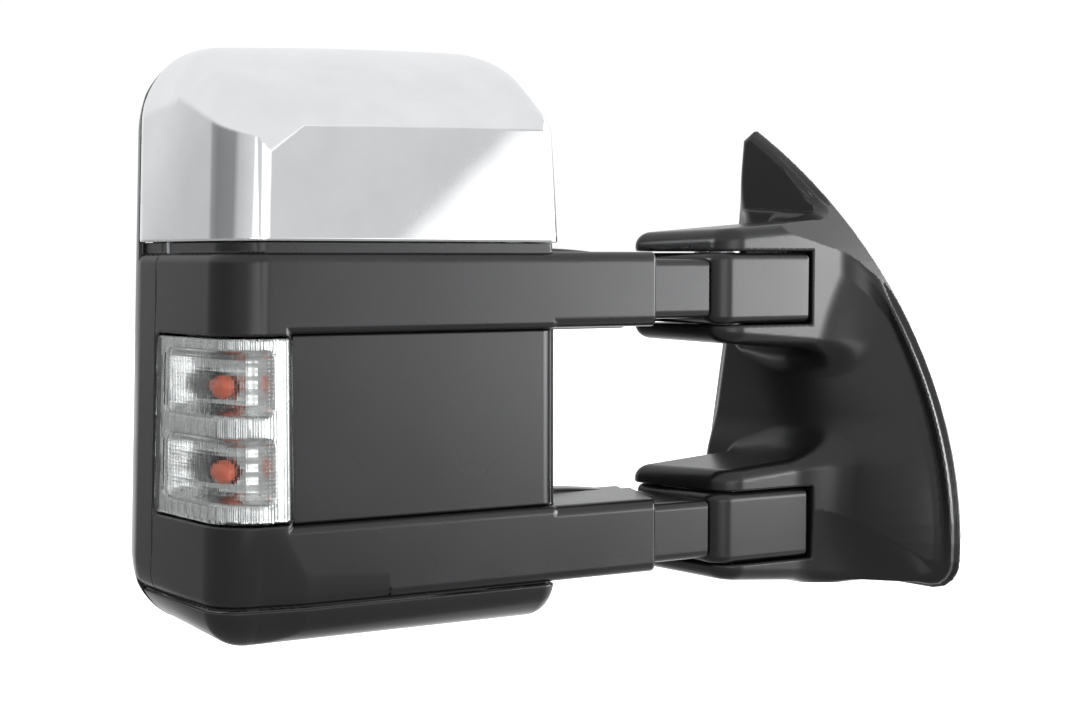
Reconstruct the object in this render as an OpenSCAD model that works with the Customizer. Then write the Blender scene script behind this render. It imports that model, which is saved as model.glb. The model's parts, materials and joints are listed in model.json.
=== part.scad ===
// Telescoping, folding tow mirror for the right side of a vehicle.
// Origin: centre of the door stud pattern, on the door face.
// +X into the door, +Y to the rear of the vehicle, +Z up. Millimetres.

/* [Arms] */
// Distance between the two arm centre heights
arm_gap = 180; // [170:1:190]
// Sweep of the arms to the rear
sweep = 14; // [12:1:16]
// Distance of the fold axis from the door
pivot_out = 102; // [100:1:106]
// Height of a sleeve
sleeve_h = 54; // [52:1:56]
// Depth of a sleeve, front to rear
sleeve_d = 88; // [86:1:90]
// Height of an inner tube
tube_h = 44; // [40:1:45]
// Depth of an inner tube, front to rear
tube_d = 74; // [70:1:76]
// Wall of an inner tube
tube_wall = 3; // [2:0.5:4]
// Radius of a fold pin
pin_r = 9; // [7:0.5:10]

/* [Head] */
// Height of the head above the middle of the arms
head_up = 259; // [254:1:262]
// Depth of the head below the middle of the arms
head_down = 146; // [144:1:150]
// Rise of the roof from its outboard end to its inboard end
roof_rise = 8; // [0:1:8]
// Width of the front of the head
front_w = 250; // [248:1:252]
// Flare of the outboard side towards the rear
flare_out = 28; // [26:1:30]
// Flare of the inboard side towards the rear
flare_in = 10; // [6:1:14]
// Depth of the head, front to rear
head_d = 147; // [145:1:150]
// Wall of the plastic shells
shell_wall = 3; // [2.5:0.5:4]

/* [Door mount] */
// Stud spacing along the vehicle
stud_dy = 80; // [70:5:90]
// Stud spacing in height
stud_dz = 150; // [130:5:160]
// Stud radius
stud_r = 4; // [3:0.5:5]
// Stud length past the door face
stud_len = 28; // [20:1:40]

/* [Hidden] */

big = 900;
$fn = 48;
plastic = [0.13, 0.13, 0.14];
dark = [0.07, 0.07, 0.08];
steel = [0.62, 0.63, 0.65];

// arm frame: fold axis at x = y = 0, x inboard along the arm, y to the rear
arm_z = arm_gap / 2;
front_y = -47;
sleeve_rear_y = front_y + sleeve_d;
sleeve_mid_y = (front_y + sleeve_rear_y) / 2;
mouth_x = -86.5;
mouth_rear_x = -62;
split_y = 18;
sleeve_r = 9;
tube_end_x = -330;
guide_gap = 0.3;
in_h = sleeve_h - 2 * shell_wall;
in_d = sleeve_d - 2 * shell_wall;

// knuckles and ears
knuckle_h = 53;
slot_h = 55.2;
knuckle_rear_y = 43;
knuckle_in_x = 51;
knuckle_r = 51;
slot_x = 53;
end_front_x = -34;
end_rear_x = -50;
ear_front_x = -13;
ear_rear_x = -58;
ear_t = 20;
ear_low_t = 15;
bush_r = 12;
run_gap = 0.05;
washer_t = 1;
spring_r = 15;
spring_t = 1.2;
spring_rise = 0.8;
spring_n = 4;
spring_depth = spring_n * (spring_t + spring_rise);

// head outline
in_x = -162;
out_x = in_x - front_w;
rear_y = front_y + head_d;
rear_in_x = in_x + flare_in;
rear_out_x = out_x - flare_out;
rim_y = rear_y - 22;
rim_in = 7;
lean_out = 10;
lean_in = 7;
cap_z = arm_z + sleeve_h / 2 + 6;
low_z = -arm_z - sleeve_h / 2 - 1;
crease_z = 206;
panel_h = arm_gap - sleeve_h;
panel_y = -41;
back_y = -35;
lens_x = out_x + 48;
lens_h = panel_h - 4;
lens_rear_y = 50;
head_split_y = 52;
lens_wall = 2.5;
cap_wall = 2.5;

bulb_x = out_x + 12;
bulb_z = 28;
socket_y = 14;
socket_r = 8;
socket_flange_r = 11;
socket_flange_t = 8;
window_half = 23;
bulb_r = 8;

// inner frame and glasses
frame_y = 42;
frame_t = 3;
frame_low_z = -104;
frame_high_z = 182;
guide_l = 16;
guide_in_x = -246;
glass_x = (rear_in_x + rear_out_x) / 2;
glass_w = rear_in_x - rear_out_x - 42;
bar_h = 5;
glass_gap = 5.5;
upper_low = bar_h / 2 + glass_gap;
upper_h = head_up - rim_in - 12 - upper_low;
upper_z = upper_low + upper_h / 2;
lower_h = head_down - rim_in - 12 - upper_low;
lower_z = -upper_low - lower_h / 2;
upper_r = 50;
lower_r = 36;
joint_y = 64;
holder_y = 78;
holder_t = 3;
glass_t = 3;
lip = 2.5;
gusset_y = 56;
motor_z = 122;
trunnion_r = 3;
lug_x = 14;
lug_t = 5;
lug_low = 4.8;
fork_z = 16;
fork_t = 5;
drum_gap = 9;
drum_r = 46;
drum_screw_r = 38;
boss_r = 6;
screw_r = 2.5;

// base
base_front_y = -154;
base_low_z = -138;
tip = [49, 218];
bend_hi = [-66, 143];
bend_lo = [-160, 22];
toe = [base_front_y, -116];
heel = [112, -126];
rear_bend = [67, 140];
rear_tip = [60, 211];
rim_t = 14;
gasket_t = 2.5;
gasket_w = 9;
pocket_x = -16;
plate_t = 4;
plate_y = 116;
plate_z = 190;
grommet_z = -20;
post_y = 48;
post_z = 85;
post_r = 8;

function bezier(t) =
  pow(1 - t, 3) * tip + 3 * t * pow(1 - t, 2) * bend_hi + 3 * t * t * (1 - t) * bend_lo + pow(t, 3) * toe;
function edge_points(n) = [for (i = [0 : n]) bezier(i / n)];
function base_points() = concat(edge_points(20),
  [[base_front_y + 6, -131], [base_front_y + 22, base_low_z], [heel[0] - 14, base_low_z],
   heel, rear_bend, rear_tip]);
function round_points(w, h, r, n = 6) = [for (c = [0 : 3], i = [0 : n])
  let (a = 90 * c + 90 * i / n, sx = (c == 0 || c == 3) ? 1 : -1, sy = c < 2 ? 1 : -1)
  [sx * (w / 2 - r) + r * cos(a), sy * (h / 2 - r) + r * sin(a)]];

module on_arm() translate([-pivot_out, 0, 0]) rotate([0, 0, -sweep]) children();
module along_x(x, l) translate([x, 0, 0]) rotate([90, 0, 90]) linear_extrude(l) children();
module along_y(y, l) translate([0, y + l, 0]) rotate([90, 0, 0]) linear_extrude(l) children();
module rod_y(x, y, z, r, l) translate([x, y, z]) rotate([-90, 0, 0]) cylinder(r = r, h = l);
module rod_x(x, y, z, r, l) translate([x, y, z]) rotate([0, 90, 0]) cylinder(r = r, h = l);
module rod_z(x, y, z, r, l) translate([x, y, z]) cylinder(r = r, h = l);
module box(x0, x1, y0, y1, z0, z1) translate([x0, y0, z0]) cube([x1 - x0, y1 - y0, z1 - z0]);
module both_arms() for (s = [-1, 1]) translate([0, 0, s * arm_z]) children();

// ---- base ----

module base_outline(inset = 0) offset(delta = -inset) polygon(base_points());

module ear_plan(top, low) on_arm() translate([0, 0, low]) linear_extrude(top - low)
  polygon([[slot_x + 2, front_y - 1], [ear_front_x, front_y - 1], [ear_front_x - 14, front_y + 8],
           [ear_rear_x, knuckle_rear_y - 10], [ear_rear_x + 10, knuckle_rear_y],
           [slot_x - 8, knuckle_rear_y], [slot_x + 2, 30]]);

module foot(top, low, inset, x = -rim_t) intersection() {
  along_x(x, -gasket_t - x) base_outline(inset);
  box(-big, big, -big, big, low, top);
}

// fairing that joins a pair of ears to the door flange
module hub(top, low, foot_top, foot_low) hull() {
  on_arm() box(slot_x - 7, slot_x + 9, front_y - 3, knuckle_rear_y - 3, low + 1.5, top - 1.5);
  foot(foot_top, foot_low, 3);
}

// hollow behind the end wall of a slot, open to the door
module hub_hollow(z, foot_top, foot_low) hull() {
  on_arm() box(slot_x + 4.5, slot_x + 6, front_y + 5, knuckle_rear_y - 10, z - slot_h / 2, z + slot_h / 2);
  intersection() {
    along_x(-rim_t + 3, rim_t) base_outline(15);
    box(-big, big, -big, big, foot_low, foot_top);
  }
}

module arm_slot(z) on_arm() box(-big, slot_x, -big, big, z - slot_h / 2, z + slot_h / 2);

module posts() for (y = [-1, 1], z = [-1, 1]) translate([0, y * post_y, z * post_z]) children();

module base_body() {
  hull() {
    along_x(-gasket_t - 8, 8) base_outline();
    along_x(-rim_t, 4) base_outline(7);
  }
  hull() {
    foot(118, -108, 8.5);
    box(-46, -rim_t, -60, 48, -104, 110);
  }
  ear_plan(arm_z + slot_h / 2 + ear_t, arm_z - slot_h / 2 - ear_low_t);
  ear_plan(-arm_z + slot_h / 2 + ear_t, -arm_z - slot_h / 2 - ear_low_t);
  hub(arm_z + slot_h / 2 + ear_t, arm_z - slot_h / 2 - ear_low_t, 150, 30);
  hub(-arm_z + slot_h / 2 + ear_t, -arm_z - slot_h / 2 - ear_low_t, -30, base_low_z);
}

module base_housing() color(plastic) difference() {
  base_body();
  for (s = [-1, 1]) {
    arm_slot(s * arm_z);
    on_arm() rod_z(0, 0, s * arm_z - slot_h / 2 - ear_low_t - 9, pin_r, slot_h + ear_low_t + 9 + 12);
  }
  difference() {
    union() {
      hub_hollow(arm_z, 125, 45);
      hub_hollow(-arm_z, -45, base_low_z + 10);
    }
    posts() rod_x(-60, 0, 0, post_r, 60);
  }
  box(pocket_x, 1, -plate_y / 2, plate_y / 2, -plate_z / 2, plate_z / 2);
  posts() rod_x(pocket_x - 12, 0, 0, screw_r, 14);
  rod_x(-34, 0, grommet_z, 12, 40);
}

module door_gasket() color(dark) along_x(-gasket_t, gasket_t) difference() {
  base_outline(2);
  base_outline(2 + gasket_w);
}

module stud_plate() color(steel) difference() {
  box(pocket_x, pocket_x + plate_t, -plate_y / 2 + 1, plate_y / 2 - 1, -plate_z / 2 + 1, plate_z / 2 - 1);
  for (y = [-1, 1], z = [-1, 1])
    rod_x(pocket_x - 1, y * stud_dy / 2, z * stud_dz / 2, stud_r, plate_t + 2);
  posts() rod_x(pocket_x - 1, 0, 0, screw_r, plate_t + 2);
  rod_x(pocket_x - 1, 0, grommet_z, 14, plate_t + 2);
}

module door_studs() color(steel) for (y = [-1, 1], z = [-1, 1])
  translate([0, y * stud_dy / 2, z * stud_dz / 2]) {
    rod_x(pocket_x, 0, 0, stud_r, stud_len - pocket_x);
    rod_x(pocket_x + plate_t, 0, 0, 7, 3);
  }

module plate_screws() color(steel) posts() {
  rod_x(pocket_x - 10, 0, 0, screw_r, 10 + plate_t);
  rod_x(pocket_x + plate_t, 0, 0, 4.5, 3);
}

module wire_grommet() color(dark) translate([pocket_x, 0, grommet_z]) difference() {
  union() {
    rod_x(0, 0, 0, 14, plate_t);
    rod_x(plate_t, 0, 0, 18, 3);
  }
  rod_x(-1, 0, 0, 8, plate_t + 5);
}

module fold_pins() color(steel) on_arm() both_arms()
  rod_z(0, 0, -slot_h / 2 - ear_low_t, pin_r, slot_h + ear_low_t + 12);

module thrust_washers() color(steel) on_arm() both_arms() for (s = [-1, 1])
  translate([0, 0, s * (slot_h - washer_t) / 2]) difference() {
    cylinder(r = 20, h = washer_t, center = true);
    cylinder(r = pin_r, h = washer_t + 1, center = true);
  }

// ---- arms ----

module knuckle_plan() polygon(concat(
  [[end_rear_x + 3, knuckle_rear_y], [end_rear_x - 1, knuckle_rear_y - 5],
   [end_front_x - 3, front_y + 8], [end_front_x, front_y + 2], [end_front_x + 5, front_y],
   [knuckle_in_x - 3, front_y], [knuckle_in_x, front_y + 3]],
  [for (a = [0 : 5 : 55]) knuckle_r * [cos(a), sin(a)]], [[28, knuckle_rear_y]]));

module spigot(grow = 0) box(-75, -20, front_y + 7 + tube_wall - grow, front_y + 7 + tube_d - tube_wall + grow,
  -tube_h / 2 + tube_wall - grow, tube_h / 2 - tube_wall + grow);

module knuckle() color(plastic) difference() {
  union() {
    translate([0, 0, -knuckle_h / 2]) linear_extrude(knuckle_h) knuckle_plan();
    spigot();
  }
  cylinder(r = bush_r, h = knuckle_h + 2, center = true);
  translate([0, 0, knuckle_h / 2 - spring_depth]) cylinder(r = spring_r + 0.5, h = spring_depth + 1);
}

module knuckle_upper() on_arm() translate([0, 0, arm_z]) knuckle();
module knuckle_lower() on_arm() translate([0, 0, -arm_z]) knuckle();

module tube() color(dark) difference() {
  along_x(tube_end_x, -tube_end_x) translate([sleeve_mid_y, 0]) difference() {
    polygon(round_points(tube_d, tube_h, 6));
    square([tube_d - 2 * tube_wall, tube_h - 2 * tube_wall], center = true);
  }
  translate([0, 0, -knuckle_h / 2]) linear_extrude(knuckle_h) union() {
    knuckle_plan();
    translate([-25, 0]) square([200, 200], center = false);
    translate([end_front_x, -200]) square([200, 400]);
  }
}

module tube_upper() on_arm() translate([0, 0, arm_z]) tube();
module tube_lower() on_arm() translate([0, 0, -arm_z]) tube();

module pivot_bushes() color(steel) on_arm() both_arms() for (s = [0, 1]) {
  low = s == 0 ? -knuckle_h / 2 : knuckle_h / 2 - spring_depth - 14;
  translate([0, 0, low]) difference() {
    cylinder(r = bush_r, h = 14);
    translate([0, 0, -1]) cylinder(r = pin_r + run_gap, h = 16);
  }
}

module disc_spring() rotate_extrude()
  polygon([[pin_r + 0.6, 0], [spring_r, spring_rise], [spring_r, spring_rise + spring_t],
           [pin_r + 0.6, spring_t]]);

module disc_springs() color(steel) on_arm() both_arms()
  translate([0, 0, knuckle_h / 2 - spring_depth]) for (i = [0 : spring_n - 1])
    translate([0, 0, i * (spring_t + spring_rise)])
      if (i % 2 == 0) disc_spring();
      else translate([0, 0, spring_t + spring_rise]) mirror([0, 0, 1]) disc_spring();

module tube_tie() color(steel) on_arm() difference() {
  box(tube_end_x - 4, tube_end_x, sleeve_mid_y - 16, sleeve_mid_y + 16, -arm_z - 18, arm_z + 18);
  for (s = [-1, 1]) translate([0, 0, s * arm_z]) for (y = [-8, 8])
    rod_x(tube_end_x - 5, sleeve_mid_y + y, 0, 3, 6);
}

module tie_bolts() color(steel) on_arm() both_arms() for (y = [-8, 8]) {
  rod_x(tube_end_x - 4, sleeve_mid_y + y, 0, 3, 16);
  rod_x(tube_end_x - 8, sleeve_mid_y + y, 0, 5.5, 4);
}

// ---- head ----

module rods(x0, x1, z0, z1, r, y, rise = 0) {
  for (x = [x0 + r, x1 - lean_in - r]) rod_y(x, y, z0 + r, r, 1, $fn = 32);
  rod_y(x0 + lean_out + r, y, z1 - r, r, 1, $fn = 32);
  rod_y(x1 - lean_in - r, y, z1 + rise - r, r, 1, $fn = 32);
  rod_y(x1 - r, y, arm_z, r, 1, $fn = 32);
  rod_y(x1 - r, y, -arm_z + r, r, 1, $fn = 32);
}

// outer form of the head, moved in by d
module head_form(d) hull() {
  rods(out_x + 16 + d, in_x - 12 - d, -head_down + 34 + d, crease_z - 6 - d, 18, front_y + d);
  rods(out_x + 4 + d, in_x - 2 - d, -head_down + 8 + d, crease_z + 4 - d, 18, front_y + 7 + d);
  rods(out_x - 16 + d, in_x + 5 - d, -head_down + d, head_up - 5 - d, 42, front_y + 72, roof_rise);
  rods(rear_out_x + d, rear_in_x - d, -head_down + d, head_up - d, 46, rim_y, roof_rise);
  rods(rear_out_x + rim_in + d, rear_in_x - rim_in - d, -head_down + rim_in + d, head_up - rim_in - d,
       42, rear_y - 1 - d, roof_rise);
}

module head_skin(wall) difference() {
  head_form(0);
  head_form(wall);
  glass_hole();
}

module glass_hole() along_y(rim_y, 60) translate([glass_x, (head_up - head_down) / 2])
  polygon(round_points(glass_w + 4, head_up + head_down - 2 * rim_in - 12, 38));

module sleeve_out(y0, y1) intersection() {
  along_x(out_x + 40, -out_x) translate([sleeve_mid_y, 0])
    polygon(round_points(sleeve_d, sleeve_h, sleeve_r));
  translate([0, 0, -50]) linear_extrude(100)
    polygon([[out_x + 40, y0], [mouth_at(y0), y0], [mouth_at(y1), y1], [out_x + 40, y1]]);
}
function mouth_at(y) = mouth_x + (mouth_rear_x - mouth_x) * (y - front_y) / sleeve_d;

module sleeve_hollow()
  box(out_x + 30, 0, front_y + shell_wall, sleeve_rear_y - shell_wall, -in_h / 2, in_h / 2);

module front_boss(x, z, y0) rod_y(x, y0, z, boss_r, frame_y - y0);

module frame_points() for (x = [-200, -352], z = [-50, 50]) translate([x, 0, z]) children();
module shell_points() for (x = [out_x + 2, in_x - 16], z = [-94, 100]) translate([x, 0, z]) children();

module front_shell() color(plastic) on_arm() difference() {
  union() {
    intersection() {
      head_skin(shell_wall);
      difference() {
        union() {
          box(-big, in_x + 30, front_y - 1, split_y, low_z, cap_z);
          box(-big, glass_x, front_y - 1, head_split_y, low_z, cap_z);
        }
        box(-big, in_x + 30, front_y - 2, back_y + shell_wall, -panel_h / 2, panel_h / 2);
        lens_zone(panel_h, lens_x + 4, lens_rear_y);
      }
    }
    both_arms() intersection() {
      sleeve_out(front_y, split_y);
      union() {
        box(in_x - 12, 0, front_y, split_y, -100, 100);
        box(-big, 0, front_y, back_y + shell_wall, -100, 100);
      }
    }
    box(lens_x + 4, in_x - 6, back_y, back_y + shell_wall, -panel_h / 2 - 3, panel_h / 2 + 3);
    frame_points() front_boss(0, 0, back_y + shell_wall);
  }
  both_arms() sleeve_hollow();
  frame_points() rod_y(0, frame_y - 12, 0, screw_r, 13);
}

module gusset(y0) box(-28, 28, y0, gusset_y, -9, 9);

module rear_shell() color(plastic) on_arm() difference() {
  union() {
    intersection() {
      head_skin(shell_wall);
      union() {
        box(-big, glass_x, head_split_y, rim_y, low_z, cap_z);
        box(glass_x, big, split_y, rim_y, low_z, cap_z);
        box(-big, big, rim_y, rear_y, -big, big);
      }
    }
    both_arms() intersection() {
      sleeve_out(split_y, sleeve_rear_y);
      box(in_x, 0, 0, 100, -100, 100);
    }
    intersection() {
      head_form(1);
      union() {
        box(rear_out_x, rear_in_x, rim_y + 6, rear_y - 3, -bar_h / 2, bar_h / 2);
        shell_points() gusset(head_split_y + 0.3);
      }
    }
    intersection() {
      head_form(shell_wall + 0.5);
      shell_points() gusset(frame_y + frame_t);
    }
  }
  both_arms() sleeve_hollow();
  shell_points() rod_y(0, frame_y, 0, screw_r, 30);
}

module chrome_cap() color([0.86, 0.87, 0.88]) on_arm() intersection() {
  head_skin(cap_wall);
  box(-big, big, front_y - 1, rim_y, cap_z, big);
}

module lower_cap() color(plastic) on_arm() intersection() {
  head_skin(cap_wall);
  box(-big, big, front_y - 1, rim_y, -big, low_z);
}

module front_panel() color(plastic) on_arm()
  box(lens_x + 1, in_x - 2, panel_y, back_y, -panel_h / 2, panel_h / 2);

module slide_guides() color([0.75, 0.75, 0.72]) on_arm() both_arms()
  for (x = [mouth_x - guide_l - 4, guide_in_x])
    along_x(x, guide_l) translate([sleeve_mid_y, 0]) difference() {
      polygon(round_points(in_d, in_h, sleeve_r - shell_wall));
      square([tube_d + 2 * guide_gap, tube_h + 2 * guide_gap], center = true);
    }

module head_frame() color(steel) on_arm() difference() {
  union() {
    box(out_x - 8, in_x - 8, frame_y, frame_y + frame_t, frame_low_z, frame_high_z);
    both_arms() box(guide_in_x - 2, guide_in_x + guide_l + 2, back_y + shell_wall, frame_y,
                    -sleeve_h / 2, sleeve_h / 2);
  }
  both_arms() {
    along_x(guide_in_x, guide_l) translate([sleeve_mid_y, 0]) square([in_d, in_h], center = true);
    along_x(guide_in_x - 3, guide_l + 6) translate([sleeve_mid_y, 0])
      square([tube_d + 2, tube_h + 2], center = true);
  }
  box(-big, out_x + 6, 0, big, -panel_h / 2, panel_h / 2);
  frame_points() rod_y(0, frame_y - 1, 0, screw_r, frame_t + 2);
  shell_points() rod_y(0, frame_y - 1, 0, screw_r, frame_t + 2);
  box(glass_x - 26, glass_x + 26, frame_y - 1, frame_y + frame_t + 1, motor_z, motor_z + 46);
}

module frame_screws() color(steel) on_arm() frame_points() {
  rod_y(0, frame_y - 12, 0, screw_r, 12 + frame_t);
  rod_y(0, frame_y + frame_t, 0, 4.5, 3);
}

module shell_screws() color(steel) on_arm() shell_points() {
  rod_y(0, frame_y, 0, screw_r, gusset_y - frame_y);
  rod_y(0, gusset_y, 0, 4.5, 2.5);
}

// ---- signal lamp ----

module lens_zone(h, x1, y1) box(-big, x1, front_y - 1, y1, -h / 2, h / 2);

module signal_lens() color([0.85, 0.88, 0.9, 0.5]) on_arm() intersection() {
  difference() {
    head_form(0);
    head_form(lens_wall);
  }
  lens_zone(lens_h, lens_x, lens_rear_y);
}

module lamp_housing() color([0.7, 0.7, 0.72]) on_arm() difference() {
  intersection() {
    head_form(lens_wall);
    lens_zone(lens_h - 4, lens_x, lens_rear_y - 4);
  }
  for (z = [-bulb_z, bulb_z]) {
    translate([0, 0, z]) {
      box(-big, lens_x - 8, front_y - 1, 2, -window_half, window_half);
      box(-big, out_x - 8, front_y - 1, lens_rear_y - 8, -window_half, window_half);
    }
    rod_y(bulb_x, 0, z, socket_r, 20);
  }
  box(out_x - 1, big, socket_y, big, -arm_z, arm_z);
}

module signal_bulbs() color([0.95, 0.5, 0.12]) on_arm() for (z = [-bulb_z, bulb_z])
  translate([bulb_x, 0, z]) rotate([90, 0, 0]) rotate_extrude()
    polygon(concat([[0, 0], [5, 0], [5, 5]],
      [for (a = [-50 : 10 : 90]) [bulb_r * cos(a), 14 + 10 * sin(a)]]));

module bulb_sockets() color(dark) on_arm() for (z = [-bulb_z, bulb_z]) {
  rod_y(bulb_x, 0, z, socket_r, socket_y);
  rod_y(bulb_x, socket_y, z, socket_flange_r, socket_flange_t);
}

// ---- glass mounts ----

module fork() for (s = [-1, 1]) difference() {
  box(-8, 8, -drum_gap, 6, s > 0 ? fork_z : -fork_z - fork_t, s > 0 ? fork_z + fork_t : -fork_z);
  rod_z(0, 0, s > 0 ? fork_z - 1 : -fork_z - fork_t - 1, trunnion_r + run_gap, fork_t + 2);
}

module at_joint(z) translate([glass_x, joint_y, z]) children();

module glass_actuator() color(dark) on_arm() difference() {
  union() {
    rod_y(glass_x, frame_y + frame_t, upper_z, drum_r, joint_y - drum_gap - frame_y - frame_t);
    box(glass_x - 25, glass_x + 25, 12, frame_y + frame_t, motor_z + 1, motor_z + 45);
    at_joint(upper_z) fork();
  }
  for (a = [45 : 90 : 315])
    rod_y(glass_x + drum_screw_r * cos(a), frame_y, upper_z + drum_screw_r * sin(a), 2, 40);
}

module actuator_screws() color(steel) on_arm() for (a = [45 : 90 : 315])
  translate([glass_x + drum_screw_r * cos(a), 0, upper_z + drum_screw_r * sin(a)]) {
    rod_y(0, frame_y + frame_t, 0, 2, joint_y - drum_gap - frame_y - frame_t);
    rod_y(0, joint_y - drum_gap, 0, 4, 2.5);
  }

module spot_bracket() color(dark) on_arm() difference() {
  union() {
    box(glass_x - 34, glass_x + 34, frame_y + frame_t, frame_y + frame_t + 4, lower_z - 26, lower_z + 26);
    rod_y(glass_x, frame_y + frame_t + 4, lower_z, 24, joint_y - drum_gap - frame_y - frame_t - 4);
    at_joint(lower_z) fork();
  }
  for (x = [-28, 28], z = [-20, 20]) rod_y(glass_x + x, frame_y, lower_z + z, 2, 20);
}

module bracket_screws() color(steel) on_arm() for (x = [-28, 28], z = [-20, 20])
  translate([glass_x + x, frame_y + frame_t, lower_z + z]) {
    rod_y(0, 0, 0, 2, 4);
    rod_y(0, 4, 0, 4, 2.5);
  }

module gimbal() {
  box(-12, 12, -5, 5, -14, 14);
  rod_z(0, 0, -21, trunnion_r, 42);
  rod_x(-19, 0, 0, trunnion_r, 38);
}

module upper_gimbal() color(steel) on_arm() at_joint(upper_z) gimbal();
module lower_gimbal() color(steel) on_arm() at_joint(lower_z) gimbal();

module holder(h, r) translate([0, -joint_y, 0]) difference() {
  union() {
    along_y(holder_y, holder_t + glass_t) polygon(round_points(glass_w, h, r));
    for (s = [-1, 1]) box(s > 0 ? lug_x : -lug_x - lug_t, s > 0 ? lug_x + lug_t : -lug_x,
                          joint_y - lug_low, holder_y, -lug_low - 1, lug_low + 1);
  }
  along_y(holder_y + holder_t, glass_t + 1) polygon(round_points(glass_w - 2 * lip, h - 2 * lip, r - lip));
  rod_x(-20, joint_y, 0, trunnion_r + run_gap, 40);
}

module pane(h, r) translate([0, holder_y + holder_t - joint_y, 0])
  along_y(0, glass_t) polygon(round_points(glass_w - 2 * lip, h - 2 * lip, r - lip));

module upper_holder() color(dark) on_arm() at_joint(upper_z) holder(upper_h, upper_r);
module upper_glass() color([0.75, 0.8, 0.85]) on_arm() at_joint(upper_z) pane(upper_h, upper_r);
module lower_holder() color(dark) on_arm() at_joint(lower_z) holder(lower_h, lower_r);
module lower_glass() color([0.75, 0.8, 0.85]) on_arm() at_joint(lower_z) pane(lower_h, lower_r);

base_housing();
door_gasket();
stud_plate();
door_studs();
plate_screws();
wire_grommet();
fold_pins();
thrust_washers();
knuckle_upper();
knuckle_lower();
tube_upper();
tube_lower();
pivot_bushes();
disc_springs();
tube_tie();
tie_bolts();
front_shell();
rear_shell();
chrome_cap();
lower_cap();
front_panel();
head_frame();
frame_screws();
shell_screws();
slide_guides();
signal_lens();
lamp_housing();
signal_bulbs();
bulb_sockets();
glass_actuator();
actuator_screws();
spot_bracket();
bracket_screws();
upper_gimbal();
upper_holder();
upper_glass();
lower_gimbal();
lower_holder();
lower_glass();
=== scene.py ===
import json
import math

import bpy
import numpy as np
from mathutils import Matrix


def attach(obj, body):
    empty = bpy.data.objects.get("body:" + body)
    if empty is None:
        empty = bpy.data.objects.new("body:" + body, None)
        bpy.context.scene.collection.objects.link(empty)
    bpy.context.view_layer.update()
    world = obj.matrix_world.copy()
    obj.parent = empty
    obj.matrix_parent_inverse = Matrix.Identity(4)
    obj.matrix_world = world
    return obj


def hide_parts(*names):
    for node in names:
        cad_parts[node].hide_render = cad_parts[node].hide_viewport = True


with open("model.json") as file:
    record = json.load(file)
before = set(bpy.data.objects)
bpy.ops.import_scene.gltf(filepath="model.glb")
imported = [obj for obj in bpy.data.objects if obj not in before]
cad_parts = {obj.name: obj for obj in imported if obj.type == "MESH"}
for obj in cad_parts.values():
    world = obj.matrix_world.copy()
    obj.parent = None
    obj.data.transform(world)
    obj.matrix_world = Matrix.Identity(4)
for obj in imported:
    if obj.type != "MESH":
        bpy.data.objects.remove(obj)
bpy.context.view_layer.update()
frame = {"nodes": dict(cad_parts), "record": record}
RECORD = frame["record"]
JOINTS = {j["name"]: j for j in RECORD["behaviour"]["joints"]}

MM = 0.001

# ---------------------------------------------------------------- frames
# Arm frame: millimetres, fold axis at x = y = 0, x inboard along the arms, y to the rear.
FOLD = [v / MM for v in JOINTS["fold"]["pos_m"]]
OUT = JOINTS["telescope"]["axis"]
SWEEP = math.atan2(OUT[1], -OUT[0])
COS, SIN = math.cos(SWEEP), math.sin(SWEEP)


def arm_to_row(points):
    x, y, z = points[:, 0], points[:, 1], points[:, 2]
    return np.stack([FOLD[0] + COS * x + SIN * y, FOLD[1] - SIN * x + COS * y, z], 1)


def row_to_arm(x, y):
    u, v = x - FOLD[0], y - FOLD[1]
    return COS * u - SIN * v, SIN * u + COS * v


# ---------------------------------------------------------------- solid maths
def join_round(a, b, r):
    """Union with a fillet of radius r."""
    u = np.maximum(r - a, 0)
    v = np.maximum(r - b, 0)
    return np.maximum(r, np.minimum(a, b)) - np.sqrt(u * u + v * v)


def meet_round(a, b, r):
    """Intersection with an edge radius r."""
    u = np.maximum(r + a, 0)
    v = np.maximum(r + b, 0)
    return np.minimum(-r, np.maximum(a, b)) + np.sqrt(u * u + v * v)


def cut_round(a, b, r):
    return meet_round(a, -b, r)


def slab(v, lo, hi):
    return np.maximum(lo - v, v - hi)


def rect_round(u, v, u0, u1, v0, v1, r):
    du = np.abs(u - (u0 + u1) / 2) - ((u1 - u0) / 2 - r)
    dv = np.abs(v - (v0 + v1) / 2) - ((v1 - v0) / 2 - r)
    outside = np.sqrt(np.maximum(du, 0) ** 2 + np.maximum(dv, 0) ** 2)
    return outside + np.minimum(np.maximum(du, dv), 0) - r


def polygon_2d(u, v, points):
    """Signed distance to a closed polygon."""
    pts = np.array(points, float)
    best = None
    sign = None
    for i in range(len(pts)):
        ax, ay = pts[i]
        bx, by = pts[i - 1]
        ex, ey = bx - ax, by - ay
        wx, wy = u - ax, v - ay
        t = np.clip((wx * ex + wy * ey) / (ex * ex + ey * ey), 0, 1)
        d = (wx - ex * t) ** 2 + (wy - ey * t) ** 2
        best = d if best is None else np.minimum(best, d)
        c1, c2, c3 = v >= ay, v < by, ex * wy > ey * wx
        flip = (c1 & c2 & c3) | (~c1 & ~c2 & ~c3)
        sign = np.where(flip, -1.0, 1.0) if sign is None else np.where(flip, -sign, sign)
    return sign * np.sqrt(best)


def smooth(t):
    t = np.clip(t, 0, 1)
    return t * t * (3 - 2 * t)


def half_plane(u, v, p, q):
    """Distance to the line from p to q; positive on its left."""
    du, dv = q[0] - p[0], q[1] - p[1]
    return (du * (v - p[1]) - dv * (u - p[0])) / math.hypot(du, dv)


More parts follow.
